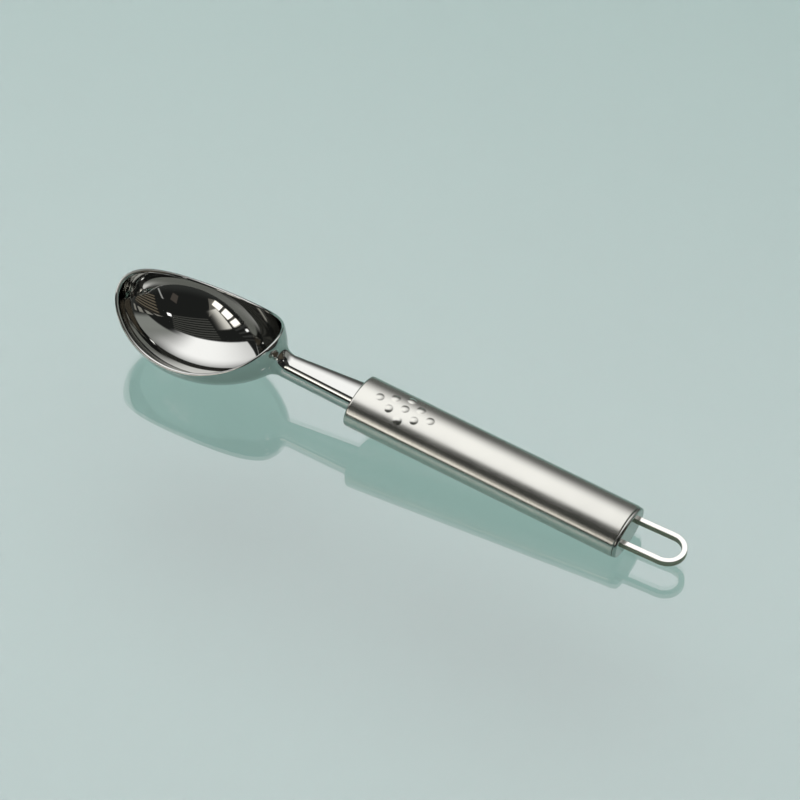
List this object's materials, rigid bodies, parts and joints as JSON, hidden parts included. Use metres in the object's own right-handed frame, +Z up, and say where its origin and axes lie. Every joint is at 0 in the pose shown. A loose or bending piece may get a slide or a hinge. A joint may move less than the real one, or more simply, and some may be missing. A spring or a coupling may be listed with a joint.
{
  "type": "ice cream scoop",
  "caption": "Ice cream scoop: deep egg-shaped metal bowl on a tapered neck, set in an oval tube handle with a capped end and a wire hanging loop.",
  "frame": {"origin": "centre of the bounding box on the plane that the scoop rests on", "axes": "+X along the handle towards the hanging loop, +Y across it, +Z up, bowl open upwards"},
  "size_m": [0.2142, 0.041, 0.0267],
  "materials": {
    "polished_casting": "mirror polished",
    "satin_tube": "satin, ground round the tube",
    "polished_cap": "polished",
    "bright_wire": "bright drawn"
  },
  "bodies": {
    "root": {"scoop_head": "polished_casting", "handle_tube": "satin_tube", "end_cap": "polished_cap", "hanging_loop": "bright_wire"}
  },
  "joints": []
}
